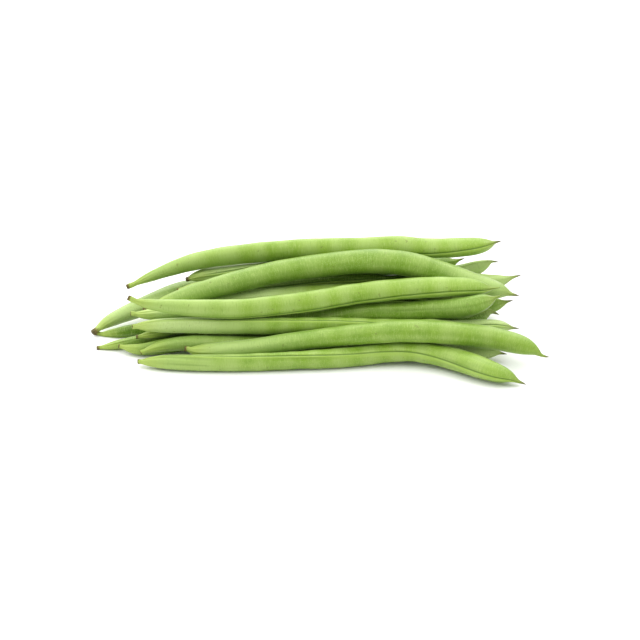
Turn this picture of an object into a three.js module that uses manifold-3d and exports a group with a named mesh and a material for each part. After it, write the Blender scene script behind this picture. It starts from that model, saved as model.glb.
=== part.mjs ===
// A loose bundle of fresh green beans lying on a table, about 220 mm long.
//
// Each pod grew as one piece and is one mesh: a short stalk that ends in a dried knob, a
// shoulder that tapers into it, an oval body that swells over the seeds, and a curved beak.
// The oval is a little longer from seam to seam than across, and fuller on the belly seam.
//
// X runs along the pods, stalks at -X and beaks at +X. Y runs from the front of the heap
// to its back, and Z is up from the table at Z = 0. All sizes are in millimetres.

import * as THREE from 'three';
import { mergeVertices } from 'three/addons/utils/BufferGeometryUtils.js';
import Module from 'manifold-3d';

const wasm = await Module();
wasm.setup();

// How the heap is looked at: the front pods are measured in the picture plane of a viewer
// who looks down on the table at this angle.
const LOOK_DOWN = THREE.MathUtils.degToRad(28);
const LOOK_COS = Math.cos(LOOK_DOWN);
const LOOK_SIN = Math.sin(LOOK_DOWN);

// The oval of a pod, as shares of half its girth.
const SEAM_SHARE = 1.07;
const SIDE_SHARE = 0.94;
const BELLY_SHARE = 0.05;

// Share of the full girth at a distance from the stalk's end, and from the beak's tip.
const STALK_SHAPE = [[0, 0.27], [1.8, 0.31], [4, 0.25], [6, 0.34], [9, 0.47], [14, 0.64],
  [20, 0.76], [28, 0.86], [38, 0.95], [50, 1]];
const BEAK_SHAPE = [[0, 0.05], [2, 0.09], [4.2, 0.13], [5.6, 0.2], [7.2, 0.43], [9.2, 0.65],
  [12, 0.81], [16, 0.92], [24, 1]];

// The seeds: how far apart they sit, how much each lifts the wall, and the stretch at each
// end of the pod over which they come in.
const SEED_PITCH = 17;
const SEED_SWELL = 0.035;
const SEEDS_START = 12;
const SEEDS_FULL = 30;

// The mesh: sides round a pod, where its sections lie from each end and how far apart they
// are between, and the short step that gives the centre line's direction.
const SIDES = 12;
const NUDGE = 0.5;
const STALK_SECTIONS = [0, 1.8, 4.2, 8, 14, 23];
const BEAK_SECTIONS = [22, 16, 12, 9.2, 7.2, 5.4, 2];
const BODY_SECTION_STEP = 8.5;

// Settling: slices across the heap, the air left between pods, how far a pod that lies on
// the table is pressed flat there, and how far apart two pods are sure not to touch.
const SLICE = 3;
const AIR = 0.42;
const PRESSED = 0.4;
const SURE_MARGIN = 2;
const SETTLE_ROUNDS = 1000;
const LOOSE_ROUNDS = 250;
const SINK_PER_ROUND = 0.03;

// How firmly a slice is drawn back to its laid place in each round: to its height in the
// picture plane where the front shows it and where it doesn't, and to its depth there.
const FRONT_GRIP = 0.8;
const HIDDEN_GRIP = 0.01;
const DEPTH_GRIP = 0.012;
const STIFF_PASSES = 3;

// One row for each pod. girth is its thickness at the stalk half and at the beak half, ends
// how long its neck and its beak are drawn out (1 is the length above), and roll the side
// its belly seam faces at each end: 0 the front, 90 up, -90 down, 180 the back.
// A path point is [x, height in the picture plane, depth y, 1 where the front shows it].
const PODS = [
  { name: 'pod_top', girth: [8.8, 9.8], ends: [1, 0.75], roll: [-120, 20],
    path: [[-93.4, 38.2, 47, 1], [-88.5, 40.2, 47, 1], [-74.6, 46.1, 48, 1],
      [-57.8, 51.4, 49, 1], [-24, 55.7, 50, 1], [0, 57.1, 50, 1], [57, 56.8, 50, 1],
      [76, 58.0, 50, 1], [83.5, 59.6, 50, 1], [87.6, 60.4, 50, 1]] },
  { name: 'pod_upper_arch', girth: [9.6, 11.6], ends: [0.8, 1], roll: [120, 160],
    path: [[-84, 27, 29, 1], [-78, 29, 30, 1], [-57, 35.5, 34, 1], [-42, 39.4, 36, 1],
      [-20, 45.1, 42, 1], [0, 48, 44, 1], [15, 49.8, 45, 1], [30, 50.4, 45, 1],
      [45, 48.4, 44, 1], [57.6, 44.2, 43, 1], [68, 40, 41, 1], [76.8, 37.9, 39, 1],
      [85.6, 36, 37, 1], [90.7, 34.8, 36, 1], [95.9, 33.9, 35, 1]] },
  { name: 'pod_front_upper', girth: [8.2, 10.2], ends: [0.9, 0.9], roll: [-110, 0],
    path: [[-91.7, 33.1, 22, 1], [-87.5, 31.2, 22, 1], [-79, 29.7, 23, 1], [-58, 28.2, 24, 1],
      [-38, 27.8, 26, 1], [-19, 29.8, 28, 1], [0, 32.1, 30, 1], [15, 34.7, 32, 1],
      [38, 37.1, 33, 1], [62, 38.3, 33, 1], [77, 37.2, 32, 1], [86.4, 37.8, 32, 1]] },
  { name: 'pod_front_middle', girth: [7.8, 8.6], ends: [0.5, 0.8], roll: [80, 35],
    path: [[-90, 19, 17, 1], [-85, 19.4, 17, 1], [-48, 19.4, 17, 1], [-10, 19.6, 17, 1],
      [14, 19.5, 17, 1], [26, 18.7, 17, 1], [62, 18.2, 18, 0], [83, 19.2, 19, 1],
      [95.6, 18.2, 19, 1]] },
  { name: 'pod_front_long', girth: [8.2, 11], ends: [0.5, 1], roll: [140, 170],
    path: [[-64.8, 8.7, 5, 1], [-58, 7.4, 5, 1], [-34, 8.6, 6, 1], [-10, 12, 7, 1],
      [17, 14.9, 7, 1], [38, 16.7, 7, 1], [62, 15.9, 6, 1], [77, 14.4, 5, 1], [90, 12, 2.6, 1],
      [97, 9.8, 0.8, 1], [102.4, 7, -0.8, 1], [105.2, 5.3, -1.4, 1], [109.7, 4.6, -2, 1]] },
  { name: 'pod_front_low', girth: [8, 11], ends: [0.5, 1], roll: [90, -10],
    path: [[-87, 2.4, -1, 1], [-79, 2.2, -3, 1], [-48, 1.9, -4, 1], [0, 4.9, 1.5, 0],
      [30, 7.6, 6, 1], [46, 8, 7, 1], [60, 4.8, 1, 1], [68, 2.6, -4, 1], [74.7, 0, -10, 1],
      [81, -2.1, -14, 1], [87.7, -4.3, -17, 1], [92.2, -6.2, -18, 1], [98.1, -8.4, -20, 1]] },
  { name: 'pod_middle_shaded', girth: [8, 10.4], ends: [0.6, 0.7], roll: [-120, -160],
    path: [[-91, 25.4, 27, 1], [-82, 24.4, 27, 1], [-58, 23, 26, 0], [0, 24, 27, 0],
      [16, 26, 26, 1], [38, 26.2, 25, 1], [62, 27.4, 25, 1], [74, 30, 25, 1], [81, 32.3, 25, 1],
      [86.8, 34.1, 25, 1]] },
  { name: 'pod_low_left', girth: [7.6, 8.4], ends: [0.6, 0.8], roll: [160, 120],
    path: [[-86, 6.7, 7, 1], [-79, 8.9, 8, 1], [-70, 10.9, 9, 1], [-58, 12, 11, 1],
      [-38, 13.2, 13, 0], [0, 9.6, 12, 0], [40, 11.4, 16, 0], [72, 6.7, 6, 1], [81, 6.8, 6, 1],
      [89.5, 6, 6, 1]] },
  { name: 'pod_floor_left', girth: [7, 8], ends: [0.5, 1], roll: [100, 80],
    path: [[-96.5, 9.8, 14, 1], [-84, 7.9, 10, 1], [-58, 12.2, 18, 0], [0, 14, 22, 0],
      [50, 15.6, 25, 0], [66, 15.2, 25, 0]] },
  { name: 'pod_floor_long', girth: [7.2, 8.6], ends: [0.6, 0.9], roll: [-140, -90],
    path: [[-107.2, 8.9, 16, 1], [-100, 9.7, 16, 1], [-94, 10.6, 17, 1], [-86, 12.1, 18, 1],
      [-58, 16.6, 27, 0], [0, 18.6, 31, 0], [50, 18.6, 31, 0], [78, 17.4, 30, 0]] },
  { name: 'pod_left_lower', girth: [7.2, 8.8], ends: [0.8, 0.8], roll: [-60, 100],
    path: [[-108.4, 15.2, 32, 1], [-96, 16.6, 29, 1], [-86, 18.2, 30, 1], [-67, 20, 33, 0],
      [0, 22.4, 39.5, 0], [52, 21.6, 38, 1], [67, 22.2, 38, 1], [74, 23.6, 39, 1],
      [81, 26.4, 40, 1], [86.6, 24.8, 40, 1]] },
  { name: 'pod_left_tip', girth: [9.4, 8], ends: [0.65, 0.8], roll: [150, 120],
    path: [[-109.5, 15.4, 28, 1], [-100, 22.1, 35, 1], [-91, 26, 40, 1], [-82, 29.5, 44, 1],
      [-68, 34.8, 52, 1], [-58, 37.4, 56, 1], [-30, 43, 60, 0], [0, 45.8, 60, 0],
      [38, 47.4, 61, 0], [61, 49.6, 62, 1], [70.3, 52.3, 62, 1]] },
  { name: 'pod_behind_top', girth: [9, 8.4], ends: [0.4, 1.1], roll: [20, 120],
    path: [[-64.8, 41.8, 47, 1], [-58, 43.6, 47, 1], [-46, 45.2, 48, 1], [-24, 47, 50, 0],
      [0, 50, 54, 0], [30, 47, 53, 0], [62, 37, 46, 0], [77, 38.9, 48, 1], [86, 40.8, 48, 1],
      [97.5, 44.2, 47, 1]] },
  { name: 'pod_behind_arch', girth: [7.8, 8.4], ends: [0.7, 0.85], roll: [-30, 90],
    path: [[-69, 36.3, 41, 1], [-58, 38.9, 42, 1], [-38, 42.2, 46, 0], [0, 43, 50, 0],
      [40, 41, 51, 0], [58, 42.4, 52, 1], [66, 44, 53, 1], [72, 46.2, 54, 1], [77, 48, 54, 1],
      [81.4, 50.5, 54, 1], [86.7, 50.2, 54, 1]] },
  { name: 'pod_right_tip', girth: [7.8, 8.8], ends: [0.8, 0.8], roll: [70, 90],
    path: [[-80, 23.6, 44, 0], [-40, 26.4, 48, 0], [0, 27, 49, 0], [50, 26.9, 48, 0],
      [77, 27.8, 47, 1], [84, 29.8, 47, 1], [93.4, 31.9, 46, 1]] },
  { name: 'pod_core_front', girth: [7.4, 8.4], ends: [0.5, 0.9], roll: [30, 60],
    path: [[-88.2, 14.2, 20, 1], [-80, 15.2, 21, 1], [-62, 18.6, 26, 0], [-30, 25, 33, 0],
      [0, 27.4, 35.5, 0], [50, 27.2, 35, 0], [80, 27, 35, 0]] },
  { name: 'pod_core_middle', girth: [7.8, 8.2], ends: [0.8, 0.9], roll: [-100, -60],
    path: [[-85.4, 27.4, 42, 1], [-78, 28.2, 42, 1], [0, 31.8, 44.5, 0], [50, 31.4, 44, 0], [84, 30, 42, 0]] },
  { name: 'pod_core_upper', girth: [7.8, 8.2], ends: [0.8, 0.9], roll: [10, -30],
    path: [[-72, 34, 38, 0], [0, 36.8, 40, 0], [50, 36.4, 40, 0], [76, 35, 41, 0]] },
  { name: 'pod_back_middle', girth: [8, 8.8], ends: [0.8, 0.9], roll: [150, 200],
    path: [[-80, 33, 52, 0], [0, 35.8, 53.5, 0], [50, 35.6, 54, 0], [84, 34, 55, 0]] },
  { name: 'pod_back_upper', girth: [8, 9], ends: [0.8, 0.9], roll: [220, 170],
    path: [[-72, 35, 61, 0], [0, 40.4, 62, 0], [50, 40.6, 63, 0], [74, 38, 63, 0],
      [82, 38, 61, 0]] },
  { name: 'pod_back_floor', girth: [8, 8.8], ends: [0.8, 0.9], roll: [200, 240],
    path: [[-84, 28, 56, 0], [0, 31.2, 58, 0], [50, 31, 57, 0], [68, 30, 57, 0],
      [76, 31, 59, 0]] },
  { name: 'pod_back_edge', girth: [7.8, 8.6], ends: [0.8, 0.9], roll: [170, 150],
    path: [[-72, 33, 64, 0], [0, 35.8, 68, 0], [50, 35.4, 67, 0], [76, 32, 65, 0],
      [84, 33, 62, 0]] },
];

// Repeatable random numbers from 0 to 1.
function randomFrom(seed) {
  let state = seed;
  return () => {
    state = (state * 1664525 + 1013904223) % 4294967296;
    return state / 4294967296;
  };
}

// A smooth curve through the rows [at, value], or through one column of wider rows.
function smoothThrough(rows, column = 1) {
  const slopes = rows.map((row, i) => {
    const before = rows[Math.max(i - 1, 0)];
    const after = rows[Math.min(i + 1, rows.length - 1)];
    return (after[column] - before[column]) / (after[0] - before[0]);
  });
  return (at) => {
    let i = 0;
    while (i < rows.length - 2 && at > rows[i + 1][0]) i += 1;
    const span = rows[i + 1][0] - rows[i][0];
    const t = THREE.MathUtils.clamp((at - rows[i][0]) / span, 0, 1);
    const t2 = t * t;
    const t3 = t2 * t;
    return (2 * t3 - 3 * t2 + 1) * rows[i][column] + (t3 - 2 * t2 + t) * span * slopes[i]
      + (3 * t2 - 2 * t3) * rows[i + 1][column] + (t3 - t2) * span * slopes[i + 1];
  };
}

const stalkShare = smoothThrough(STALK_SHAPE);
const beakShare = smoothThrough(BEAK_SHAPE);

// The pod's own shape along X: half its girth, and the side its belly seam faces.
function growPod(row, index) {
  const random = randomFrom(1000 + index * 77);
  const start = row.path[0][0];
  const end = row.path.at(-1)[0];
  const length = end - start;
  const seedShift = random() * SEED_PITCH;
  const pitch = SEED_PITCH * (0.9 + 0.25 * random());
  const swell = SEED_SWELL * (0.6 + 0.8 * random());
  const halfGirth = (x) => {
    const fromStalk = (x - start) / row.ends[0];
    const fromBeak = (end - x) / row.ends[1];
    const along = (x - start) / length;
    const full = THREE.MathUtils.lerp(row.girth[0], row.girth[1],
      THREE.MathUtils.smoothstep(along, 0.1, 0.8)) / 2;
    const share = stalkShare(Math.min(fromStalk, STALK_SHAPE.at(-1)[0]))
      * beakShare(Math.min(fromBeak, BEAK_SHAPE.at(-1)[0]));
    const seeded = THREE.MathUtils.smoothstep(
      Math.min(fromStalk, fromBeak), SEEDS_START, SEEDS_FULL);
    const wave = Math.cos((2 * Math.PI * (x - start + seedShift)) / pitch);
    return full * share * (1 + swell * seeded * wave);
  };
  const seamAngle = (x) => THREE.MathUtils.degToRad(
    THREE.MathUtils.lerp(row.roll[0], row.roll[1], (x - start) / length));
  return { name: row.name, ends: row.ends, start, end, halfGirth, seamAngle };
}

// The pod's place slice by slice, before it has settled.
function layPod(row, index) {
  const pod = growPod(row, index);
  const seen = smoothThrough(row.path, 1);
  const depth = smoothThrough(row.path, 2);
  pod.first = Math.ceil(pod.start / SLICE);
  pod.slices = Math.floor(pod.end / SLICE) - pod.first + 1;
  const xs = Array.from({ length: pod.slices }, (_, k) => (pod.first + k) * SLICE);
  pod.laidY = (x) => depth(x);
  pod.laidZ = (x) => (seen(x) - depth(x) * LOOK_SIN) / LOOK_COS;
  pod.seen = xs.map(seen);
  pod.shown = xs.map((x) => {
    const next = row.path.findIndex((point) => point[0] >= x);
    return row.path[next][3] && row.path[Math.max(next - 1, 0)][3];
  });
  pod.y0 = xs.map(pod.laidY);
  pod.z0 = xs.map(pod.laidZ);
  pod.y = [...pod.y0];
  pod.z = [...pod.z0];
  pod.half = xs.map(pod.halfGirth);
  pod.seam = xs.map((x) => {
    const angle = pod.seamAngle(x);
    return [-Math.cos(angle), Math.sin(angle)];
  });
  return pod;
}

// How far the slice of a pod reaches from its centre along the direction (ny, nz).
function reach(pod, k, ny, nz) {
  const [sy, sz] = pod.seam[k];
  const along = (ny * sy + nz * sz) * (SEAM_SHARE + BELLY_SHARE);
  const across = (ny * sz - nz * sy) * SIDE_SHARE;
  const a = Math.max(k - 1, 0);
  const b = Math.min(k + 1, pod.slices - 1);
  const run = (b - a) * SLICE || SLICE;
  const slope = (ny * (pod.y[b] - pod.y[a]) + nz * (pod.z[b] - pod.z[a])) / run;
  return pod.half[k] * Math.hypot(along, across) * Math.hypot(1, slope);
}

// Pods that share a slice push each other apart until only the air gap is between them.
function partPods(pods) {
  for (let i = 0; i < pods.length; i += 1) {
    for (let j = i + 1; j < pods.length; j += 1) {
      const p = pods[i];
      const q = pods[j];
      const from = Math.max(p.first, q.first);
      const to = Math.min(p.first + p.slices, q.first + q.slices);
      for (let slice = from; slice < to; slice += 1) {
        const a = slice - p.first;
        const b = slice - q.first;
        const dy = q.y[b] - p.y[a];
        const dz = q.z[b] - p.z[a];
        const apart = Math.hypot(dy, dz) || 1e-6;
        if (apart < p.half[a] + q.half[b] + SURE_MARGIN) {
          const ny = dy / apart;
          const nz = dz / apart;
          const short = reach(p, a, ny, nz) + reach(q, b, ny, nz) + AIR - apart;
          if (short > 0) {
            p.y[a] -= (ny * short) / 2;
            p.z[a] -= (nz * short) / 2;
            q.y[b] += (ny * short) / 2;
            q.z[b] += (nz * short) / 2;
          }
        }
      }
    }
  }
}

// A pod is springy: what pushes it in one slice bends its neighbours too.
function stiffen(values, laid) {
  const last = values.length - 1;
  const bent = values.map((value, k) => value - laid[k]);
  for (let pass = 0; pass < STIFF_PASSES; pass += 1) {
    const was = [...bent];
    for (let k = 0; k <= last; k += 1) {
      const before = was[Math.max(k - 1, 0)];
      const after = was[Math.min(k + 1, last)];
      bent[k] = (before + 2 * was[k] + after) / 4;
    }
  }
  bent.forEach((value, k) => {
    values[k] = laid[k] + value;
  });
}

function restOnTable(pod) {
  for (let k = 0; k < pod.slices; k += 1) {
    pod.z[k] = Math.max(pod.z[k], reach(pod, k, 0, 1) - PRESSED);
  }
}

// One step down for a pod, held to where the front shows it and to its depth elsewhere.
function sink(pod) {
  for (let k = 0; k < pod.slices; k += 1) {
    pod.z[k] -= SINK_PER_ROUND;
    const grip = pod.shown[k] ? FRONT_GRIP : HIDDEN_GRIP;
    const off = (pod.seen[k] - pod.z[k] * LOOK_COS - pod.y[k] * LOOK_SIN) * grip;
    pod.y[k] += off * LOOK_SIN;
    pod.z[k] += off * LOOK_COS;
    if (!pod.shown[k]) pod.y[k] += (pod.y0[k] - pod.y[k]) * DEPTH_GRIP;
  }
  stiffen(pod.y, pod.y0);
  stiffen(pod.z, pod.z0);
}

// The pods sink until they rest on the table or on one another, then are eased apart.
function settle(pods) {
  for (let round = 0; round < SETTLE_ROUNDS + LOOSE_ROUNDS; round += 1) {
    if (round < SETTLE_ROUNDS) pods.forEach(sink);
    partPods(pods);
    pods.forEach(restOnTable);
  }
}

// A settled pod's centre line, with its two ends carried on past the last slices.
function centreLine(pod) {
  const xs = Array.from({ length: pod.slices }, (_, k) => (pod.first + k) * SLICE);
  const bentY = smoothThrough(xs.map((x, k) => [x, pod.y[k] - pod.y0[k]]));
  const bentZ = smoothThrough(xs.map((x, k) => [x, pod.z[k] - pod.z0[k]]));
  return (x) => new THREE.Vector3(x, pod.laidY(x) + bentY(x), pod.laidZ(x) + bentZ(x));
}

function sectionPlaces(pod) {
  const stalk = STALK_SECTIONS.map((s) => pod.start + s * pod.ends[0]);
  const beak = BEAK_SECTIONS.map((s) => pod.end - s * pod.ends[1]);
  const from = stalk.at(-1);
  const to = beak[0];
  const steps = Math.round((to - from) / BODY_SECTION_STEP);
  const body = Array.from({ length: steps - 1 }, (_, i) => from + ((i + 1) * (to - from)) / steps);
  return [...stalk, ...body, ...beak];
}

// One section of a pod: a ring of points, counter-clockwise seen from the beak.
function ringAt(pod, centre, x) {
  const middle = centre(x);
  const forward = centre(Math.min(x + NUDGE, pod.end))
    .sub(centre(Math.max(x - NUDGE, pod.start))).normalize();
  const angle = pod.seamAngle(x);
  const seam = new THREE.Vector3(0, -Math.cos(angle), Math.sin(angle));
  seam.addScaledVector(forward, -seam.dot(forward)).normalize();
  const side = new THREE.Vector3().crossVectors(forward, seam);
  const half = pod.halfGirth(x);
  return Array.from({ length: SIDES }, (_, i) => {
    const turn = (2 * Math.PI * i) / SIDES;
    const out = half * (SEAM_SHARE * Math.cos(turn) + BELLY_SHARE * Math.cos(2 * turn));
    return middle.clone().addScaledVector(seam, out)
      .addScaledVector(side, half * SIDE_SHARE * Math.sin(turn));
  });
}

// The closed skin of a pod: rings joined by triangles, a flat stalk end and a pointed beak.
function podGeometry(pod) {
  const centre = centreLine(pod);
  const rings = sectionPlaces(pod).map((x) => ringAt(pod, centre, x));
  const points = rings.flat();
  const faces = [];
  for (let r = 0; r < rings.length - 1; r += 1) {
    for (let i = 0; i < SIDES; i += 1) {
      const a = r * SIDES + i;
      const b = r * SIDES + ((i + 1) % SIDES);
      faces.push(a, b, b + SIDES, a, b + SIDES, a + SIDES);
    }
  }
  const stalkEnd = points.push(rings[0].reduce((sum, p) => sum.add(p), new THREE.Vector3())
    .divideScalar(SIDES)) - 1;
  const lastRing = rings.at(-1);
  const lastMiddle = lastRing.reduce((sum, p) => sum.add(p), new THREE.Vector3())
    .divideScalar(SIDES);
  const forward = centre(pod.end).sub(centre(pod.end - BEAK_SECTIONS.at(-1) * pod.ends[1]));
  const beakTip = points.push(lastMiddle.add(forward)) - 1;
  const last = (rings.length - 1) * SIDES;
  for (let i = 0; i < SIDES; i += 1) {
    const next = (i + 1) % SIDES;
    faces.push(stalkEnd, next, i, beakTip, last + i, last + next);
  }
  const geometry = new THREE.BufferGeometry().setFromPoints(points);
  geometry.setIndex(faces);
  return geometry;
}

function toSolid(geometry) {
  const bare = geometry.clone();
  bare.deleteAttribute('normal');
  bare.deleteAttribute('uv');
  const merged = mergeVertices(bare);
  return new wasm.Manifold(new wasm.Mesh({
    numProp: 3,
    vertProperties: merged.attributes.position.array,
    triVerts: new Uint32Array(merged.index.array),
  }));
}

function toGeometry(solid) {
  const mesh = solid.getMesh();
  const geometry = new THREE.BufferGeometry();
  geometry.setAttribute('position', new THREE.BufferAttribute(mesh.vertProperties, 3));
  geometry.setIndex(new THREE.BufferAttribute(mesh.triVerts, 1));
  geometry.computeVertexNormals();
  return geometry;
}

// What the table presses flat: everything a pod would have below Z = 0.
const TABLE_SIDE = 400;
const TABLE_DEPTH = 20;
const TABLE = toSolid(new THREE.BoxGeometry(TABLE_SIDE, TABLE_SIDE, TABLE_DEPTH)
  .translate(0, 0, -TABLE_DEPTH / 2));

function podColour(index) {
  const random = randomFrom(500 + index * 31);
  return new THREE.Color().setHSL(0.235 + 0.02 * random(), 0.42 + 0.1 * random(),
    0.46 + 0.08 * random());
}

const pods = PODS.map(layPod);
settle(pods);

const bundle = new THREE.Group();
pods.forEach((pod, index) => {
  const geometry = toGeometry(toSolid(podGeometry(pod)).subtract(TABLE));
  const material = new THREE.MeshStandardMaterial({
    color: podColour(index),
    roughness: 0.5,
    metalness: 0,
  });
  const mesh = new THREE.Mesh(geometry, material);
  mesh.name = pod.name;
  bundle.add(mesh);
});

// The origin is the middle of the heap's footprint, on the table.
const bounds = new THREE.Box3().setFromObject(bundle);
const middle = bounds.getCenter(new THREE.Vector3());
bundle.position.set(-middle.x, -middle.y, 0);

export default bundle;
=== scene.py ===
# %% [markdown]
# # A bundle of fresh green beans
#
# Green beans are picked as whole pods: a dried stalk end, a pale neck, a long body that swells
# a little over its seeds, and a thin curved beak. Here a loose bundle of them lies in a low
# heap. The packed solids give each pod its place and its girth. This script reads them, grows
# a finer pod along each one with Geometry Nodes, and gives it a living skin.

# %% The frame
import math

import bpy
import numpy as np
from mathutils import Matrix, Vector


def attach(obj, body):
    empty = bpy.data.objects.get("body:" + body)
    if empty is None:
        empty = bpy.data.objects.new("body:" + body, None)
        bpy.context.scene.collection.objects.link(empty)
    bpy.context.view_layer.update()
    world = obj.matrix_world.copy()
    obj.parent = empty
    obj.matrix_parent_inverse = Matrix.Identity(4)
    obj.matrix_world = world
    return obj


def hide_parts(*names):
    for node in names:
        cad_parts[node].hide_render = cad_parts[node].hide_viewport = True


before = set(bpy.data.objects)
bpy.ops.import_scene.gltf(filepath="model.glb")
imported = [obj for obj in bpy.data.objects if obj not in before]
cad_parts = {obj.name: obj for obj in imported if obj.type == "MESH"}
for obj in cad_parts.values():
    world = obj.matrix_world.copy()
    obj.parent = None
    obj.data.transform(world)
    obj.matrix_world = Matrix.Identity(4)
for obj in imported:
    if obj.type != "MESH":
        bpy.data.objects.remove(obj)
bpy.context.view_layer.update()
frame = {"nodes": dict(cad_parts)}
MM = 0.001
print("pods:", len(frame["nodes"]))

# %% [markdown]
# ## The camera
#
# The photograph looks down on the heap from the front, from far enough away that the pods at
# the back look as thick as those in front. A long lens does the same. Its distance follows
# from how many millimetres of heap one pixel of the picture covers.

# %% The camera
PICTURE_PIXELS = 640
PIXEL = 0.48 * MM
LOOK_DOWN = math.radians(28)
LOOK_AT = Vector((0.0003, 0.0, 0.0107))
LENS = 400
FARTHEST_SEEN = 100

camera_data = bpy.data.cameras.new("bean_camera")
camera_data.lens = LENS
camera_data.clip_end = FARTHEST_SEEN
camera = bpy.data.objects.new("bean_camera", camera_data)
bpy.context.collection.objects.link(camera)
bpy.context.scene.camera = camera

distance = PICTURE_PIXELS * PIXEL * LENS / camera_data.sensor_width
back = Vector((0, -math.cos(LOOK_DOWN), math.sin(LOOK_DOWN)))
camera.location = LOOK_AT + back * distance
camera.rotation_euler = (-back).to_track_quat("-Z", "Y").to_euler()
print("camera at", round(distance, 3), "m from the heap")

# %% [markdown]
# ## Light
#
# Across each pod the light falls evenly, from a bright upper edge to deep green underneath,
# with no streak of shine. Small lamps would leave streaks. A sun whose disc is made very wide
# works as a huge soft panel: the widest stands above and a little behind. A lower one behind
# adds the pale rim, and two low ones, at the stalk side and the beak side, keep the ends clear.

# %% Light
AIR_LIGHT = 0.12
SUNS = (
    ("sky_panel", (-0.08, 0.24, 0.80), 112, 4.3),
    ("rim_panel", (0.05, 0.85, 0.55), 60, 1.25),
    ("stalk_fill", (-0.80, -0.50, 0.45), 60, 1.1),
    ("beak_fill", (0.85, -0.42, 0.42), 60, 0.9),
)


def soft_sun(name, place, width, strength):
    """A light from the direction of place, whose disc is width degrees wide."""
    data = bpy.data.lights.new(name, "SUN")
    data.angle = math.radians(width)
    data.energy = strength
    light = bpy.data.objects.new(name, data)
    light.location = place
    light.rotation_euler = (LOOK_AT - Vector(place)).to_track_quat("-Z", "Y").to_euler()
    bpy.context.collection.objects.link(light)


for sun in SUNS:
    soft_sun(*sun)

world = bpy.data.worlds.new("studio")
bpy.context.scene.world = world
world.use_nodes = True
background = world.node_tree.nodes["Background"]
background.inputs["Color"].default_value = (1, 1, 1, 1)
background.inputs["Strength"].default_value = AIR_LIGHT
bpy.context.scene.view_settings.view_transform = "Standard"
print("soft lights:", [light.name for light in bpy.data.lights])

# %% [markdown]
# ## The floor
#
# The pods lie on plain white paper that has no edge in sight. One large plane does for it. It
# is matt, so that only the soft shadow under the heap shows on it.

# %% The floor
FLOOR_SIDE = 40.0
PAPER_WHITE = 0.93
PAPER_ROUGHNESS = 0.9

bpy.ops.mesh.primitive_plane_add(size=FLOOR_SIDE, location=(0, 0, 0))
floor = bpy.context.object
floor.name = "floor"
paper = bpy.data.materials.new("white_floor")
paper.use_nodes = True
paper_shader = paper.node_tree.nodes["Principled BSDF"]
paper_shader.inputs["Base Color"].default_value = (PAPER_WHITE, PAPER_WHITE, PAPER_WHITE, 1)
paper_shader.inputs["Roughness"].default_value = PAPER_ROUGHNESS
floor.data.materials.append(paper)
print("floor:", FLOOR_SIDE, "m square")

# %% [markdown]
# ## Cutting across a pod
#
# A pod has no straight axis, so its middle has to be found. Cut across the solid every
# millimetre, and each cut is a small closed outline: its centroid is a point of the pod's
# line, and its area gives the girth there. The area and centroid of an outline come from its
# edges alone, in any order, as long as all of them run the same way round.

# %% Cutting across a pod
CUT_STEP = 1.0 * MM
STALK_CLEAR = 1.6 * MM
BEAK_CLEAR = 1.0 * MM
SAME_PLACE = 0.001 * MM
PLACE_DIGITS = 7


def solid_triangles(node):
    mesh = node.data
    mesh.calc_loop_triangles()
    corners = np.array([v.co for v in mesh.vertices])
    return corners[np.array([t.vertices[:] for t in mesh.loop_triangles])]


def cut_across(triangles, x):
    """Area and centroid (y, z) of the solid's outline in the plane at x."""
    above = triangles[:, :, 0] > x
    crossed = above.any(axis=1) & ~above.all(axis=1)
    ends = []
    for a, b in ((0, 1), (1, 2), (2, 0)):
        p, q = triangles[crossed, a], triangles[crossed, b]
        up = above[crossed, a]
        crossing = up != above[crossed, b]
        share = np.divide(p[:, 0] - x, p[:, 0] - q[:, 0], where=crossing, out=np.zeros(len(p)))
        ends.append((crossing, up, p + share[:, None] * (q - p)))
    starts = sum(np.where((c & up)[:, None], point, 0) for c, up, point in ends)[:, 1:]
    stops = sum(np.where((c & ~up)[:, None], point, 0) for c, up, point in ends)[:, 1:]
    turn = starts[:, 0] * stops[:, 1] - stops[:, 0] * starts[:, 1]
    area = turn.sum() / 2
    return abs(area), ((starts + stops) * turn[:, None]).sum(axis=0) / (6 * area)


def stalk_end(triangles):
    """Middle and half thickness of the flat stalk end, where the most triangles meet."""
    near = triangles[triangles[:, :, 0].min(axis=1) < triangles[:, :, 0].min() + 2 * STALK_CLEAR]
    points = near.reshape(-1, 3).round(PLACE_DIGITS)
    points, counts = np.unique(points, axis=0, return_counts=True)
    pole = points[counts.argmax()]
    fan = near[(abs(near - pole).max(axis=2) < SAME_PLACE).any(axis=1)].reshape(-1, 3)
    reach = np.linalg.norm(fan - pole, axis=1)
    return pole, reach[reach > SAME_PLACE].mean()


first_name, first_node = next(iter(frame["nodes"].items()))
first_area, first_middle = cut_across(solid_triangles(first_node), 0.0)
print(f"{first_name} at x = 0: {first_area / MM ** 2:.0f} mm2, middle", (first_middle / MM).round(1))

# %% [markdown]
# ## Smoothing along a pod
#
# The cuts still show the solid's facets as small kinks. Averaging each value with its
# neighbours along the pod takes them out. Near the ends the neck and the beak change fast, so
# the average reaches less far there, and it always takes as much from one side as the other.

# %% Smoothing along a pod
SMOOTH_BODY = 5.0 * MM
SMOOTH_END = 0.05 * MM
SMOOTH_SHARE = 0.22
ROUNDING = 1e-9


def smoothed(values, along):
    """Each row averaged with its neighbours, over a shorter stretch near the two ends."""
    to_end = np.minimum(along - along[0], along[-1] - along)
    width = np.clip(to_end * SMOOTH_SHARE, SMOOTH_END, SMOOTH_BODY)
    apart = np.abs(along[None, :] - along[:, None])
    weights = np.exp(-0.5 * (apart / width[:, None]) ** 2)
    weights = weights * (apart <= to_end[:, None] + ROUNDING)
    return weights @ values / weights.sum(axis=1)[:, None]


def unit(vectors):
    return vectors / np.linalg.norm(vectors, axis=1)[:, None]


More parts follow.
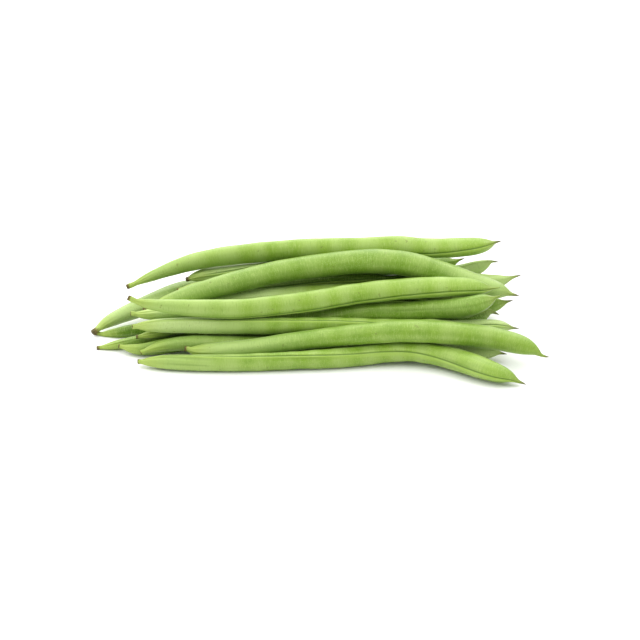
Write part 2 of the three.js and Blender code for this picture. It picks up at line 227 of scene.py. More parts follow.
corner_numbers = np.arange(9)
zigzag = corner_numbers[:, None] % 2
evened = smoothed(zigzag, corner_numbers * SMOOTH_BODY)
print("a zigzag, smoothed:", evened[:, 0].round(2))

# %% [markdown]
# ## The pod's line
#
# A pod isn't round. It is a little deeper from seam to seam than it is wide, and a seam runs
# along its belly from stalk to beak. The table gives the side that each pod's belly faces at
# the stalk and at the beak: 0 the front, 90 up, -90 down, 180 the back. With the line, the
# girth and that side, all that the fine pod needs from the solid is known.

# %% The pod's line
SEAM_SIDES = {
    "pod_top": (-120, 20), "pod_upper_arch": (120, 160), "pod_front_upper": (-75, 10),
    "pod_front_middle": (80, 35), "pod_front_long": (140, 170), "pod_front_low": (90, -10),
    "pod_middle_shaded": (-120, -160), "pod_low_left": (160, 120), "pod_floor_left": (100, 80),
    "pod_floor_long": (-140, -90), "pod_left_lower": (-60, 100), "pod_left_tip": (150, 120),
    "pod_behind_top": (20, 120), "pod_behind_arch": (-30, 90), "pod_right_tip": (70, 90),
    "pod_core_front": (30, 60), "pod_core_middle": (-100, -60), "pod_core_upper": (10, -30),
    "pod_back_middle": (150, 200), "pod_back_upper": (220, 170), "pod_back_floor": (200, 240),
    "pod_back_edge": (170, 150),
}
SEAM_SHARE, SIDE_SHARE = 1.07, 0.94
SOLID_SIDES = 12
SKIN_FIT = 0.985
TIP_CLEAR = 0.15 * MM
TIP_HALF = 0.05 * MM


def solid_section():
    """Area of the solid's many-sided section whose half girth is 1."""
    wedge = 2 * math.pi / SOLID_SIDES
    return math.pi * SEAM_SHARE * SIDE_SHARE * math.sin(wedge) / wedge


def pod_line(name, node):
    """The pod's centre points, half girth, seam side and other side, from stalk to beak."""
    triangles = solid_triangles(node)
    start, stalk_half = stalk_end(triangles)
    tip = triangles.reshape(-1, 3)[triangles[:, :, 0].argmax()] - (TIP_CLEAR, 0, 0)
    cuts = np.arange(start[0] + STALK_CLEAR, tip[0] - BEAK_CLEAR, CUT_STEP)
    areas, middles = zip(*[cut_across(triangles, x) for x in cuts])
    centre = np.vstack([start, np.column_stack([cuts, np.array(middles)]), tip])
    along = np.concatenate([[0], np.cumsum(np.linalg.norm(np.diff(centre, axis=0), axis=1))])
    centre = smoothed(centre, along)
    forward = unit(np.gradient(centre, along, axis=0))
    half = np.sqrt(np.array(areas) * forward[1:-1, 0] / solid_section())
    half = np.concatenate([[stalk_half], half, [TIP_HALF]])
    half = smoothed(half[:, None], along)[:, 0] * SKIN_FIT
    share = (centre[:, 0] - centre[0, 0]) / (centre[-1, 0] - centre[0, 0])
    angle = np.radians(np.interp(share, [0, 1], SEAM_SIDES[name]))
    seam = np.column_stack([np.zeros(len(angle)), -np.cos(angle), np.sin(angle)])
    seam = unit(seam - forward * (seam * forward).sum(axis=1)[:, None])
    return centre, half, seam, np.cross(forward, seam), along


lines = {name: pod_line(name, node) for name, node in frame["nodes"].items()}
for name, (_centre, half, _seam, _side, along) in lines.items():
    print(f"{name}: {along[-1] / MM:.0f} mm long, {2 * half.max() / MM:.1f} mm thick")

# %% [markdown]
# ## The snapped stalk
#
# Where the pod was pulled from the plant its stalk ends in a small dried face with a dent in
# it. Four stations at the start of the line draw that face: from a point in the dent, out to
# the rim, and round onto the side of the stalk. Each is a depth in millimetres and a share of
# the stalk's girth.

# %% The snapped stalk
DENT = ((0.45, 0.02), (0.35, 0.45), (0.05, 0.86), (0.2, 1.0))
STALK_STEPS = 5


def with_stalk_face(centre, half, seam, side, along):
    """The line with the dented end face in front, and finer stations on the knob behind it."""
    fine = np.linspace(0, along[2], STALK_STEPS + 1)[1:-1]
    face = np.array([[depth * MM, half[0] * share] for depth, share in DENT])
    places = np.concatenate([face[:, 0], fine[fine > face[-1, 0]], along[2:]])
    halves = np.interp(places, along, half)
    halves[:len(face)] = face[:, 1]
    columns = [np.column_stack([np.interp(places, along, rows[:, i]) for i in range(3)])
               for rows in (centre, seam, side)]
    return columns[0], halves, columns[1], columns[2], places


stations = {name: with_stalk_face(*line) for name, line in lines.items()}
print("stations on the longest pod:", max(len(s[1]) for s in stations.values()))

# %% [markdown]
# ## Sums in a node tree
#
# A node tree writes every plus and times as a node of its own, which hides the rule it
# follows. This small class lets a rule be written as it would be on paper: each sign makes
# one Math node and links it. It serves the pod's shape and its skin alike.

# %% Sums in a node tree
class Sum:
    """A number in a node tree that can be added, multiplied and so on."""

    def __init__(self, tree, socket):
        self.tree = tree
        self.socket = socket

    def math(self, operation, *others):
        node = self.tree.nodes.new("ShaderNodeMath")
        node.operation = operation
        for slot, value in zip(node.inputs, (self, *others)):
            if isinstance(value, Sum):
                self.tree.links.new(value.socket, slot)
            else:
                slot.default_value = value
        return Sum(self.tree, node.outputs[0])

    def __add__(self, other):
        return self.math("ADD", other)

    def __sub__(self, other):
        return self.math("SUBTRACT", other)

    def __mul__(self, other):
        return self.math("MULTIPLY", other)

    def __truediv__(self, other):
        return self.math("DIVIDE", other)

    def sin(self):
        return self.math("SINE")

    def cos(self):
        return self.math("COSINE")

    def exp(self):
        return self.math("EXPONENT")

    def at_least(self, value):
        return self.math("MAXIMUM", value)

    def step(self, low, high):
        """0 below low, 1 above high, and smooth between. Falls instead if low is the higher."""
        node = self.tree.nodes.new("ShaderNodeMapRange")
        node.interpolation_type = "SMOOTHSTEP"
        self.tree.links.new(self.socket, node.inputs["Value"])
        node.inputs["From Min"].default_value = min(low, high)
        node.inputs["From Max"].default_value = max(low, high)
        node.inputs["To Min"].default_value = 0 if low < high else 1
        node.inputs["To Max"].default_value = 1 if low < high else 0
        return Sum(self.tree, node.outputs["Result"])


methods = [name.strip("_") for name, value in vars(Sum).items() if callable(value)]
print("methods of a Sum:", ", ".join(methods))

# %% [markdown]
# ## Noise and vectors
#
# Nothing that grew is quite even. A noise texture gives a smooth random number at each place,
# the same on every run. The other helpers put numbers together as a vector, stretch and add
# vectors, and pass values along with the mesh.

# %% Noise and vectors
NOISE_MIDDLE = 0.5


def noise(tree, vector, scale, detail=2.0, roughness=0.5):
    """A smooth random number from about 0 to 1 at each place."""
    node = tree.nodes.new("ShaderNodeTexNoise")
    node.inputs["Scale"].default_value = scale
    node.inputs["Detail"].default_value = detail
    node.inputs["Roughness"].default_value = roughness
    tree.links.new(vector, node.inputs["Vector"])
    return Sum(tree, node.outputs[0])


def gathered(tree, x, y, z):
    """Three numbers as one vector."""
    node = tree.nodes.new("ShaderNodeCombineXYZ")
    for number, slot in zip((x, y, z), node.inputs):
        tree.links.new(number.socket, slot)
    return node.outputs[0]


def scaled(tree, vector, number):
    node = tree.nodes.new("ShaderNodeVectorMath")
    node.operation = "SCALE"
    tree.links.new(vector, node.inputs[0])
    tree.links.new(number.socket, node.inputs["Scale"])
    return node.outputs[0]


def added(tree, first, second):
    node = tree.nodes.new("ShaderNodeVectorMath")
    node.operation = "ADD"
    tree.links.new(first, node.inputs[0])
    tree.links.new(second, node.inputs[1])
    return node.outputs[0]


def stored(tree, name, kind="FLOAT"):
    """Read a value that the mesh carries."""
    node = tree.nodes.new("GeometryNodeInputNamedAttribute")
    node.data_type = kind
    node.inputs["Name"].default_value = name
    return node.outputs["Attribute"]


def store(tree, geometry, name, value, kind="FLOAT"):
    """Let the mesh carry a value."""
    node = tree.nodes.new("GeometryNodeStoreNamedAttribute")
    node.data_type = kind
    node.inputs["Name"].default_value = name
    tree.links.new(geometry, node.inputs["Geometry"])
    tree.links.new(value, node.inputs["Value"])
    return node.outputs["Geometry"]

# %% [markdown]
# ## Sweeping the pod
#
# A pod follows its line, so Geometry Nodes can sweep it: a ring at every station. The ring is
# only a marker. Each of its corners carries how far round it lies, and the steps after this
# one place it by the girth and the seam side that the line carries. The corners are crowded
# toward the two seams, where the finest relief is.

# %% Sweeping the pod
POD_SIZES = {
    "Sides": 56, "Seed pitch": 14 * MM, "Seed swell": 0.03, "Lip height": 0.2 * MM,
    "Fold depth": 0.3 * MM, "Rib depth": 0.07, "Unevenness": 0.55 * MM, "Wrinkle depth": 0.05 * MM,
    "Depth of green and shade": 0.12, "Pale and lit stalk": 0.4, "Pale and lit beak": 0.05, "Dried stalk": 1.5 * MM,
    "Dried beak": 4.5 * MM, "Seed of chance": 0.0,
}
SEAM_CROWDING = 0.37


def empty_rule():
    """A tree with the pod's sizes as its inputs, and those inputs as numbers to reckon with."""
    tree = bpy.data.node_groups.new("bean_pod", "GeometryNodeTree")
    tree.interface.new_socket("Line", in_out="INPUT", socket_type="NodeSocketGeometry")
    for name, size in POD_SIZES.items():
        kind = "NodeSocketInt" if name == "Sides" else "NodeSocketFloat"
        tree.interface.new_socket(name, in_out="INPUT", socket_type=kind).default_value = size
    tree.interface.new_socket("Pod", in_out="OUTPUT", socket_type="NodeSocketGeometry")
    entry = tree.nodes.new("NodeGroupInput")
    return tree, entry, {name: Sum(tree, entry.outputs[name]) for name in POD_SIZES}


def swept_rings(tree, entry, size):
    to_curve = tree.nodes.new("GeometryNodeMeshToCurve")
    tree.links.new(entry.outputs["Line"], to_curve.inputs["Mesh"])
    ring = tree.nodes.new("GeometryNodeCurvePrimitiveCircle")
    ring.inputs["Radius"].default_value = MM
    tree.links.new(size["Sides"].socket, ring.inputs["Resolution"])
    count = Sum(tree, tree.nodes.new("GeometryNodeInputIndex").outputs[0])
    turned = count * (2 * math.pi) / size["Sides"]
    marked = store(tree, ring.outputs["Curve"], "turn", turned.socket)
    sweep = tree.nodes.new("GeometryNodeCurveToMesh")
    sweep.inputs["Fill Caps"].default_value = True
    tree.links.new(to_curve.outputs["Curve"], sweep.inputs["Curve"])
    tree.links.new(marked, sweep.inputs["Profile Curve"])
    return sweep.outputs["Mesh"]


def place_on_pod(tree):
    """Where a corner lies: round the pod, along it from the stalk, and left to the beak."""
    turn = Sum(tree, stored(tree, "turn"))
    turn = turn - (turn * 2).sin() * SEAM_CROWDING
    place = {name: Sum(tree, stored(tree, name)) for name in ("girth", "along", "left")}
    place.update(turn=turn, toward=turn.cos(), across=turn.sin())
    place.update({name: stored(tree, name, "FLOAT_VECTOR") for name in ("centre", "seam", "side")})
    return place


print("sizes in the pod's rule:", ", ".join(POD_SIZES))

# %% [markdown]
# ## Seeds, ribs and wrinkles
#
# Seeds make the pod swell at a beat that is never quite regular, most on its two flanks. The
# neck and the beak shrink as they dry, which leaves ribs round them. A pod that has begun to
# dry sinks in along lengthwise furrows, so that noise is drawn out along the pod.

# %% Seeds, ribs and wrinkles
SEED_WANDER, WANDER_SCALE = 9.0, 25.0
CHANCE_STEP = 2.7
SEEDS_FROM_STALK = (16 * MM, 38 * MM)
SEEDS_FROM_BEAK = (12 * MM, 28 * MM)
FLANK_SHARE = 0.7
NECK_RIBS, NECK_TWIST = 9, 90
NECK_RIB_REACH = (20 * MM, 2 * MM)
BEAK_PLEATS, BEAK_TWIST = 7, 120
BEAK_PLEAT_REACH = (14 * MM, 2 * MM)
FURROWS_ALONG, FURROWS_ROUND = 22, 2.3


def seed_wave(tree, size, place):
    """1 over a seed and 0 between two, fading out toward both ends."""
    wander = noise(tree, place["centre"], WANDER_SCALE) * SEED_WANDER
    wander = wander + size["Seed of chance"] * CHANCE_STEP
    in_body = place["along"].step(*SEEDS_FROM_STALK) * place["left"].step(*SEEDS_FROM_BEAK)
    beat = place["along"] * (2 * math.pi) / size["Seed pitch"] + wander
    return (beat.cos() + 1) * 0.5 * in_body


def girth_change(size, place, seeds):
    """How much wider or narrower than its girth the pod is here."""
    flank = place["across"] * place["across"] * FLANK_SHARE + (1 - FLANK_SHARE)
    ribs = (place["turn"] * NECK_RIBS + place["along"] * NECK_TWIST).sin()
    ribs = ribs * place["along"].step(*NECK_RIB_REACH)
    pleats = (place["turn"] * BEAK_PLEATS - place["left"] * BEAK_TWIST).sin()
    pleats = pleats * place["left"].step(*BEAK_PLEAT_REACH)
    return (ribs + pleats) * size["Rib depth"] + seeds * flank * size["Seed swell"] + 1


def furrow_wave(tree, size, place):
    """Above 0 on a ridge and below 0 in a furrow."""
    drawn = gathered(tree, place["along"] * FURROWS_ALONG + size["Seed of chance"],
                     place["toward"] * FURROWS_ROUND, place["across"] * FURROWS_ROUND)
    return noise(tree, drawn, scale=1.0, detail=1.0) - NOISE_MIDDLE


print("ribs on a neck:", NECK_RIBS, "pleats on a beak:", BEAK_PLEATS)

# %% [markdown]
# ## Seams
#
# The pod is one leaf folded lengthwise. On the belly its two edges meet in a sharp fold with a
# soft lip beside it, and along the back runs only a faint crease. The exponential of a cosine
# makes each of them: it is 1 on the line and falls off evenly on both sides, round the pod.

# %% Seams
FOLD_TURN, FOLD_SHARPNESS = -0.1, 260
LIP_TURN, LIP_SHARPNESS = 0.14, 45
BACK_SHARPNESS, BACK_SHARE = 160, 0.2
WRINKLE_GAIN = 2.5
UNEVEN_SCALE = 85.0
FIRM_FROM_STALK = (2 * MM, 12 * MM)
FIRM_FROM_BEAK = (0.5 * MM, 5 * MM)


def ridge(place, middle, sharpness):
    """1 where the turn round the pod is middle, and 0 away from it."""
    return (((place["turn"] - middle).cos() - 1) * sharpness).exp()


def relief(tree, size, place, fold, lip, furrows):
    """What stands out of the wall or is pressed into it, in metres, away from the ends."""
    crease = ridge(place, math.pi, BACK_SHARPNESS) * size["Fold depth"] * BACK_SHARE
    uneven = (noise(tree, place["centre"], UNEVEN_SCALE) - NOISE_MIDDLE) * size["Unevenness"]
    wrinkles = furrows * size["Wrinkle depth"] * WRINKLE_GAIN
    firm = place["along"].step(*FIRM_FROM_STALK) * place["left"].step(*FIRM_FROM_BEAK)
    seam = lip * size["Lip height"] - fold * size["Fold depth"]
    return (seam - crease + uneven + wrinkles) * firm


print("the fold lies", round(math.degrees(LIP_TURN - FOLD_TURN)), "degrees from its lip")

# %% [markdown]
# ## The whole rule
#
# Now the rule is put together: every corner moves out from the line toward the seam side and
# across it. What would sink into the floor is pressed flat on it. The mesh also carries what
# the skin reads, and with it the pod pulled straight, so that a pattern can follow the pod.

# %% The whole rule
BELLY_SHARE = 0.05


def pressed_flat(tree, position):
    apart = tree.nodes.new("ShaderNodeSeparateXYZ")
    tree.links.new(position, apart.inputs[0])
    x, y, z = (Sum(tree, socket) for socket in apart.outputs)
    return gathered(tree, x, y, z.at_least(0))


def dressed(tree, geometry, position, skin):
    """The mesh with its corners in place, shaded smooth and given its skin."""
    chain = [tree.nodes.new("GeometryNode" + kind) for kind in
             ("SetPosition", "SetShadeSmooth", "RealizeInstances", "SetMaterial")]
    for node in chain:
        tree.links.new(geometry, node.inputs["Geometry"])
        geometry = node.outputs["Geometry"]
    tree.links.new(position, chain[0].inputs["Position"])
    chain[-1].inputs["Material"].default_value = skin
    leave = tree.nodes.new("NodeGroupOutput")
    tree.links.new(geometry, leave.inputs["Pod"])


def pod_tree(skin):
    tree, entry, size = empty_rule()
    grown = swept_rings(tree, entry, size)
    place = place_on_pod(tree)
    seeds = seed_wave(tree, size, place)
    furrows = furrow_wave(tree, size, place)
    fold = ridge(place, FOLD_TURN, FOLD_SHARPNESS)
    lip = ridge(place, LIP_TURN, LIP_SHARPNESS)
    raised = relief(tree, size, place, fold, lip, furrows)
    half = place["girth"] * girth_change(size, place, seeds)
    belly = (place["turn"] * 2).cos() * BELLY_SHARE
    out = half * (place["toward"] * SEAM_SHARE + belly) + raised * place["toward"]
    over = half * place["across"] * SIDE_SHARE + raised * place["across"]
    spread = added(tree, scaled(tree, place["seam"], out), scaled(tree, place["side"], over))
    position = pressed_flat(tree, added(tree, place["centre"], spread))

    straight = gathered(tree, place["along"] + size["Seed of chance"], out, over)
    grown = store(tree, grown, "straight", straight, "FLOAT_VECTOR")
    carried = {"seeds": seeds, "toward": place["toward"], "fold": fold, "lip": lip,
               "furrow": furrows * size["Wrinkle depth"] / MM,
               "depth": size["Depth of green and shade"],
               "dry_stalk": size["Dried stalk"], "dry_beak": size["Dried beak"],
               "pale_and_lit_stalk": size["Pale and lit stalk"], "pale_and_lit_beak": size["Pale and lit beak"]}
    for name, number in carried.items():
        grown = store(tree, grown, name, number.socket)
    dressed(tree, grown, position, skin)
    return tree

# %% [markdown]
# ## Reading and blending
#
# A skin is painted in layers: each has a colour and a share that says where it covers what
# lies under it. A few helpers are enough: one reads what the mesh carries, one lays a colour
# over another, one stretches a pattern, and one turns a pattern into a layer's share. Three
# numbers describe such a layer: the value of the pattern where it begins to show, the value
# where it is full, and the share of the colour under it that a full layer hides.

# %% Reading and blending
def read(tree, name, output="Fac"):
    node = tree.nodes.new("ShaderNodeAttribute")
    node.attribute_name = name
    return node.outputs[output]


def blend(tree, share, under, over):
    """under where share is 0, over where it is 1."""
    node = tree.nodes.new("ShaderNodeMix")
    node.data_type = "RGBA"
    tree.links.new(share.socket, node.inputs["Factor"])
    for name, colour in (("A", under), ("B", over)):
        slot = [i for i in node.inputs if i.name == name and i.type == "RGBA"][0]
        if isinstance(colour, tuple):
            slot.default_value = colour
        else:
            tree.links.new(colour, slot)
    return [o for o in node.outputs if o.type == "RGBA"][0]


def covers(pattern, layer):
    """Share of a layer, given as (begins, is full, how much it hides)."""
    begins, full, hides = layer
    return pattern.step(begins, full) * hides


def stretched(tree, vector, scale):
    node = tree.nodes.new("ShaderNodeMapping")
    node.inputs["Scale"].default_value = scale
    tree.links.new(vector, node.inputs["Vector"])
    return node.outputs[0]

# %% [markdown]
# ## The green of the wall
#
# Bean skin is a soft green in clouds, paler over the seeds. Close up it carries fine strokes
# that run round the pod, a dusting of pale dots and a few brown specks. Each pod has a depth
# of green of its own, from about 0 for a fresh one to over 1 for the deepest: partly the pod's
# own tone, and partly painted shade on pods that lie in shadow or deep in the heap. It may be
# paler toward its stalk or its beak, partly its own colour and partly painted light on ends
# that the lamps leave in shade. All of it lies on the pod pulled straight, in metres, so that
# strokes stay strokes at a bend.

# %% The green of the wall
# The deepest green is partly a pod's own tone and partly painted shade on pods that lie in shadow.
DEEP_AND_SHADED_GREEN = (0.062, 0.150, 0.003, 1)
LEAF_GREEN = (0.130, 0.262, 0.009, 1)
FRESH_GREEN = (0.205, 0.345, 0.030, 1)
SEED_GREEN = (0.335, 0.465, 0.125, 1)
# The pale green of the ends: partly their own paler colour, partly painted light on ends the lamps
# leave in shade.
PALE_AND_LIT_GREEN = (0.425, 0.560, 0.205, 1)
# Used for painted shade in the fold, back crease and furrows, and for the darker strokes.
FOLD_GREEN = (0.045, 0.115, 0.003, 1)
SPECK_BROWN = (0.120, 0.130, 0.030, 1)
CLOUD_SCALE, CLOUD_SHARE = 90.0, 0.6
DRIFT_SCALE, DRIFT_SHARE = 9.0, 0.7
CLOUD_LEVEL, CLOUDS_LOST = 0.03, 0.4
STROKE_SCALE, STROKE_ROUGHNESS = (2600, 330, 330), 0.6
DOT_SCALE = 2400.0
SPECK_SCALE = 520.0
STALK_HALF = (75 * MM, 12 * MM)
BEAK_END = (48 * MM, 22 * MM)
FRESH_CLOUDS = (0.3, 0.7, 1.0)
SEED_CLOUDS = (0.3, 0.65, 0.55)
DEEP_HIDES = 0.7
PALE_STROKES = (0.5, 0.75, 0.5)
DARK_STROKES = (0.46, 0.2, 0.35)
PALE_DOTS = (0.55, 0.68, 0.45)
BROWN_SPECKS = (0.71, 0.77, 0.5)


def wall_patterns(tree, straight, depth):
    """Clouds of paler green, strokes round the pod and fine dots."""
    clouds = noise(tree, straight, CLOUD_SCALE, detail=3.0) * CLOUD_SHARE
    clouds = clouds + noise(tree, straight, DRIFT_SCALE) * DRIFT_SHARE
    # A deeper pod loses its paler clouds, also where its depth is painted shade.
    clouds = clouds - depth * CLOUDS_LOST - CLOUD_LEVEL
    strokes = stretched(tree, straight, STROKE_SCALE)
    strokes = noise(tree, strokes, scale=1.0, roughness=STROKE_ROUGHNESS)
    return clouds, strokes, noise(tree, straight, DOT_SCALE)


def wall_colour(tree, straight, carried, clouds, strokes, dots):
    specks = noise(tree, straight, SPECK_SCALE, detail=1.0)
    stalk_half = carried["along"].step(*STALK_HALF)
    beak_end = carried["left"].step(*BEAK_END)
    # Paler toward stalk and beak: partly the pod's own colour, partly painted light on ends that lie
    # in shade.
    pale_and_lit = stalk_half * carried["pale_and_lit_stalk"] + beak_end * carried["pale_and_lit_beak"]
    colour = blend(tree, covers(clouds, FRESH_CLOUDS), LEAF_GREEN, FRESH_GREEN)
    colour = blend(tree, carried["seeds"] * covers(clouds, SEED_CLOUDS), colour, SEED_GREEN)
    # Depth of green: partly each pod's own tone, partly painted shade on pods in shadow or deep in
    # the heap.
    colour = blend(tree, carried["depth"] * DEEP_HIDES, colour, DEEP_AND_SHADED_GREEN)
    colour = blend(tree, pale_and_lit, colour, PALE_AND_LIT_GREEN)
    colour = blend(tree, covers(strokes, PALE_STROKES), colour, SEED_GREEN)
    colour = blend(tree, covers(strokes, DARK_STROKES), colour, FOLD_GREEN)
    colour = blend(tree, covers(dots, PALE_DOTS), colour, SEED_GREEN)
    return blend(tree, covers(specks, BROWN_SPECKS), colour, SPECK_BROWN)


print("strokes to a millimetre along the pod:", STROKE_SCALE[0] * MM)

# %% [markdown]
# ## Seams and furrows in colour
#
# The belly fold, the back crease and the furrows are painted darker, as painted shade in those
# creases. The lip beside the fold is paler, and so are the ridges between the furrows. All of
# them fade out over the neck.

# %% Seams and furrows in colour
LIP_GREEN = (0.285, 0.430, 0.068, 1)
BEHIND_NECK = (3 * MM, 14 * MM)
# The fold, toward and darker furrow layers paint shade into the creases; the lip and the paler
# furrow layer make those ridges paler.
LINES = (
    ("lip", (0.2, 0.9, 0.6), LIP_GREEN),
    ("fold", (0.25, 0.9, 0.85), FOLD_GREEN),
    ("toward", (-0.99, -0.998, 0.12), FOLD_GREEN),
    ("furrow", (0.0, -0.12, 0.5), FOLD_GREEN),
    ("furrow", (0.02, 0.14, 0.4), SEED_GREEN),
)


def seam_colour(tree, carried, colour):
    firm = carried["along"].step(*BEHIND_NECK)
    for name, layer, tone in LINES:
        colour = blend(tree, covers(carried[name], layer) * firm, colour, tone)
    return colour


print("lines along the pod:", len(LINES))

# %% [markdown]
# ## Neck, stalk and beak in colour
#
# The neck fades to yellow-green. The stalk behind the snapped face is brown as far as it has
# dried, and the face itself is nearly black in places. The beak turns olive, and then brown as
# far as it has dried. Both lengths differ from pod to pod, and their borders are ragged,
# because drying never stops at a line.

# %% Neck, stalk and beak in colour
NECK_GREEN = (0.320, 0.425, 0.070, 1)
STALK_BROWN = (0.120, 0.078, 0.020, 1)
CUT_BROWN = (0.030, 0.018, 0.007, 1)
BEAK_OLIVE = (0.200, 0.262, 0.050, 1)
TIP_BROWN = (0.075, 0.062, 0.020, 1)
RAGGED, RAGGED_SCALE = 2.2 * MM, 700.0
NECK = (17 * MM, 3 * MM, 0.75)
DRIED_NECK = (1.1, 0.5, 1.0)
CUT_FACE = (0.55, 0.1, 1.0)
CUT_DOTS = (0.3, 0.6, 1.0)
OLIVE_BEAK = (10 * MM, 2 * MM, 0.7)
DRIED_TIP = (1.0, 0.2, 1.0)


def end_places(tree, straight, carried):
    """Distance from the stalk and from the beak, with a ragged edge to it."""
    ragged = (noise(tree, straight, RAGGED_SCALE) - NOISE_MIDDLE) * RAGGED
    return carried["along"] + ragged, carried["left"] + ragged


def end_colour(tree, carried, colour, neck, beak, dots):
    dried_neck = neck / carried["dry_stalk"]
    dried_tip = beak / carried["dry_beak"]
    cut = covers(dried_neck, CUT_FACE) * covers(dots, CUT_DOTS)
    colour = blend(tree, covers(neck, NECK), colour, NECK_GREEN)
    colour = blend(tree, covers(dried_neck, DRIED_NECK), colour, STALK_BROWN)
    colour = blend(tree, cut, colour, CUT_BROWN)
    colour = blend(tree, covers(beak, OLIVE_BEAK), colour, BEAK_OLIVE)
    return blend(tree, covers(dried_tip, DRIED_TIP), colour, TIP_BROWN)


print("the neck's green reaches", round(NECK[0] / MM), "mm up the pod")

# %% [markdown]
# ## The skin
#
# The skin is a thin wax on a moist wall: a broad soft shine, green-tinted face on and white
# only along the rims, and dull where stalk and beak have dried. A very shallow bump from the
# strokes and dots breaks the shine up, as the real skin's pores do, and a trace of down
# softens the edges.

# %% The skin
WAX_TINT = (0.9, 1.0, 0.5, 1)
WAX_SHINE = 0.8
WAX_ROUGHNESS, CLOUD_ROUGHNESS, DRY_ROUGHNESS = 0.45, 0.12, 0.25
DULL_STALK = (4 * MM, 1 * MM)
DULL_BEAK = (3 * MM, 0.5 * MM)
DOWN = 0.04
DOWN_ROUGHNESS = 0.4
PORE_STRENGTH = 0.5
PORE_DEPTH = 0.08 * MM
DOT_BUMP = 0.4
CARRIED = ("along", "left", "toward", "seeds", "fold", "lip", "furrow", "depth",
           "dry_stalk", "dry_beak", "pale_and_lit_stalk", "pale_and_lit_beak")


def skin_material():
    material = bpy.data.materials.new("bean_skin")
    material.use_nodes = True
    tree = material.node_tree
    shader = tree.nodes["Principled BSDF"]
    straight = read(tree, "straight", "Vector")
    carried = {name: Sum(tree, read(tree, name)) for name in CARRIED}
    clouds, strokes, dots = wall_patterns(tree, straight, carried["depth"])
    neck, beak = end_places(tree, straight, carried)
    colour = wall_colour(tree, straight, carried, clouds, strokes, dots)
    colour = seam_colour(tree, carried, colour)
    colour = end_colour(tree, carried, colour, neck, beak, dots)
    tree.links.new(colour, shader.inputs["Base Color"])

    dry = neck.step(*DULL_STALK) + beak.step(*DULL_BEAK)
    rough = (clouds - NOISE_MIDDLE) * CLOUD_ROUGHNESS + dry * DRY_ROUGHNESS + WAX_ROUGHNESS
    tree.links.new(rough.socket, shader.inputs["Roughness"])
    bump = tree.nodes.new("ShaderNodeBump")
    bump.inputs["Strength"].default_value = PORE_STRENGTH
    bump.inputs["Distance"].default_value = PORE_DEPTH
    tree.links.new((strokes + dots * DOT_BUMP).socket, bump.inputs["Height"])
    tree.links.new(bump.outputs["Normal"], shader.inputs["Normal"])
    shader.inputs["Specular IOR Level"].default_value = WAX_SHINE
    shader.inputs["Specular Tint"].default_value = WAX_TINT
    shader.inputs["Sheen Weight"].default_value = DOWN
    shader.inputs["Sheen Roughness"].default_value = DOWN_ROUGHNESS
    return material


skin = skin_material()
pod_rule = pod_tree(skin)
print("nodes in the rule:", len(pod_rule.nodes), "and in the skin:", len(skin.node_tree.nodes))

# %% [markdown]
# ## How each pod differs
#
# No two pods are alike. The tables hold each pod's depth of green, partly painted shade on
# pods in shadow, how much paler it is toward its stalk and its beak, partly painted light on
# ends in shade, how many millimetres of each have dried, and how deep its wrinkles are, in
# millimetres. A pod that isn't listed takes the common size, from POD_SIZES.

# %% How each pod differs
# Depths: each pod's own tone, plus painted shade on pods in shadow, such as the core, back and
# lower-left pods.
GREEN_AND_SHADE_DEPTHS = {
    "pod_upper_arch": 0.38, "pod_front_long": 0.27, "pod_front_upper": 0.04, "pod_front_low": 0.07,
    "pod_middle_shaded": 0.39, "pod_front_middle": 0.0, "pod_behind_arch": 1.1,
    "pod_behind_top": 0.6, "pod_right_tip": 0.35, "pod_core_upper": -0.2, "pod_core_front": 0.6,
    "pod_core_middle": 1.3, "pod_top": 0.0, "pod_left_lower": 1.35, "pod_left_tip": 1.0,
    "pod_floor_left": 0.35, "pod_floor_long": 0.4, "pod_low_left": 0.35, "pod_back_upper": 1.2,
}
# Paler stalks and beaks: partly their own colour, partly painted light where an end lies in the
# shade of other pods.
PALE_AND_LIT_STALKS = {
    "pod_upper_arch": 0.27, "pod_front_long": 0.65, "pod_front_upper": 0.45, "pod_front_low": 0.45,
    "pod_middle_shaded": 0.95, "pod_front_middle": 1.35, "pod_behind_arch": 1.2,
    "pod_behind_top": 1.2, "pod_core_upper": 2.4, "pod_core_front": 0.2, "pod_core_middle": 0.1,
    "pod_left_lower": 0.0, "pod_left_tip": 0.7, "pod_floor_left": 0.25, "pod_floor_long": 0.15,
    "pod_low_left": 0.3,
}
PALE_AND_LIT_BEAKS = {
    "pod_upper_arch": 0.5, "pod_front_middle": 1.0, "pod_behind_arch": 1.0, "pod_behind_top": 0.8,
    "pod_core_upper": 0.3, "pod_middle_shaded": 0.1, "pod_low_left": 1.0, "pod_left_tip": 0.0,
    "pod_left_lower": 0.0, "pod_top": 0.0, "pod_front_long": 0.0,
}
DRIED_BEAKS = {
    "pod_front_upper": 0.8, "pod_middle_shaded": 0.8, "pod_core_front": 0.8, "pod_front_long": 3.6,
}
DRIED_STALKS = {
    "pod_left_tip": 3.4, "pod_top": 1.8, "pod_front_upper": 1.5, "pod_behind_top": 2.6,
    "pod_front_middle": 0.35, "pod_middle_shaded": 0.5, "pod_low_left": 0.6, "pod_front_long": 1.3,
    "pod_front_low": 0.8, "pod_floor_long": 1.9, "pod_left_lower": 2.2, "pod_floor_left": 0.7,
}
WRINKLES = {
    "pod_behind_top": 0.45, "pod_front_low": 0.35, "pod_left_lower": 0.3, "pod_low_left": 0.25,
    "pod_floor_left": 0.3, "pod_floor_long": 0.3, "pod_middle_shaded": 0.2,
    "pod_front_middle": 0.12, "pod_core_front": 0.3, "pod_right_tip": 0.3,
}
OWN_SIZES = {
    "Depth of green and shade": (GREEN_AND_SHADE_DEPTHS, 1), "Pale and lit stalk": (PALE_AND_LIT_STALKS, 1), "Pale and lit beak": (PALE_AND_LIT_BEAKS, 1),
    "Dried stalk": (DRIED_STALKS, MM), "Dried beak": (DRIED_BEAKS, MM),
    "Wrinkle depth": (WRINKLES, MM),
}
SHORTEST_PITCH, PITCH_SPREAD = 12.5, 3.5
GOLDEN_SHARE = 0.618


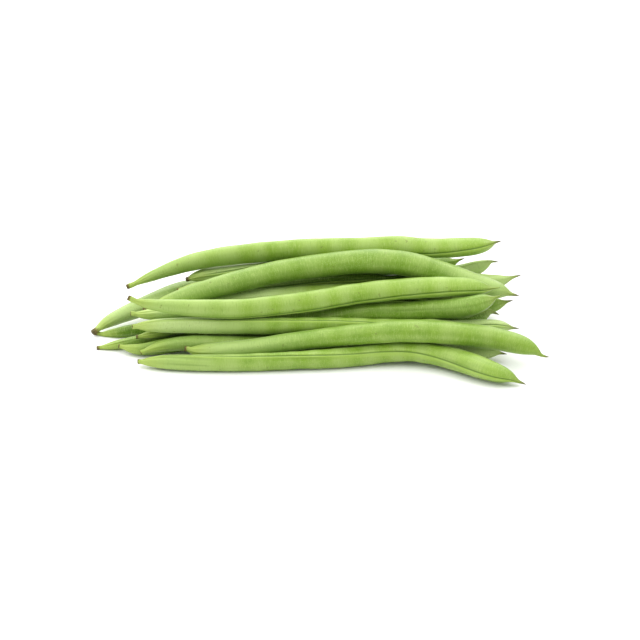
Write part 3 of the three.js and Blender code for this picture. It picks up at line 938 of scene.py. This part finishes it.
def sizes_of(name, number):
    """What this pod's rule is given in place of the common sizes."""
    sizes = {size: table[name] * scale
             for size, (table, scale) in OWN_SIZES.items() if name in table}
    sizes["Seed of chance"] = float(number)
    sizes["Seed pitch"] = (SHORTEST_PITCH + PITCH_SPREAD * ((number * GOLDEN_SHARE) % 1)) * MM
    return sizes


print("greens from", min(GREEN_AND_SHADE_DEPTHS.values()), "to", max(GREEN_AND_SHADE_DEPTHS.values()))

# %% [markdown]
# ## Growing the pods
#
# Each line becomes a chain of points that carries its girth and its seam side. The rule
# turns it into a pod, and the result is kept as a plain mesh that takes the solid's place.

# %% Growing the pods
def line_mesh(name, centre, half, seam, side, places):
    """A chain of points with what the rule needs stored on each."""
    mesh = bpy.data.meshes.new(name + "_line")
    mesh.from_pydata(centre.tolist(), [(i, i + 1) for i in range(len(centre) - 1)], [])
    rows = {"centre": centre, "seam": seam, "side": side}
    for label, vectors in rows.items():
        layer = mesh.attributes.new(label, "FLOAT_VECTOR", "POINT")
        layer.data.foreach_set("vector", vectors.astype(np.float32).ravel())
    numbers = {"girth": half, "along": places, "left": places[-1] - places}
    for label, values in numbers.items():
        layer = mesh.attributes.new(label, "FLOAT", "POINT")
        layer.data.foreach_set("value", values.astype(np.float32))
    return mesh


def grow_pod(name, number):
    line = bpy.data.objects.new(name + "_line", line_mesh(name, *stations[name]))
    bpy.context.collection.objects.link(line)
    growth = line.modifiers.new("grow", "NODES")
    growth.node_group = pod_rule
    sockets = {item.name: item.identifier for item in pod_rule.interface.items_tree}
    for size, value in sizes_of(name, number).items():
        growth[sockets[size]] = value
    grown = line.evaluated_get(bpy.context.evaluated_depsgraph_get())
    mesh = bpy.data.meshes.new_from_object(grown)
    line.modifiers.remove(growth)
    bpy.data.objects.remove(line)
    pod = bpy.data.objects.new(name + "_skin", mesh)
    bpy.context.collection.objects.link(pod)
    return pod


pods = [grow_pod(name, number) for number, name in enumerate(frame["nodes"])]
for pod, name in zip(pods, frame["nodes"]):
    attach(pod, "root")
    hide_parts(name)
print("pods:", len(pods), "faces in all:", sum(len(pod.data.polygons) for pod in pods))

# %% [markdown]
# ## The size
#
# The grown pods must fill the same box as the solids.
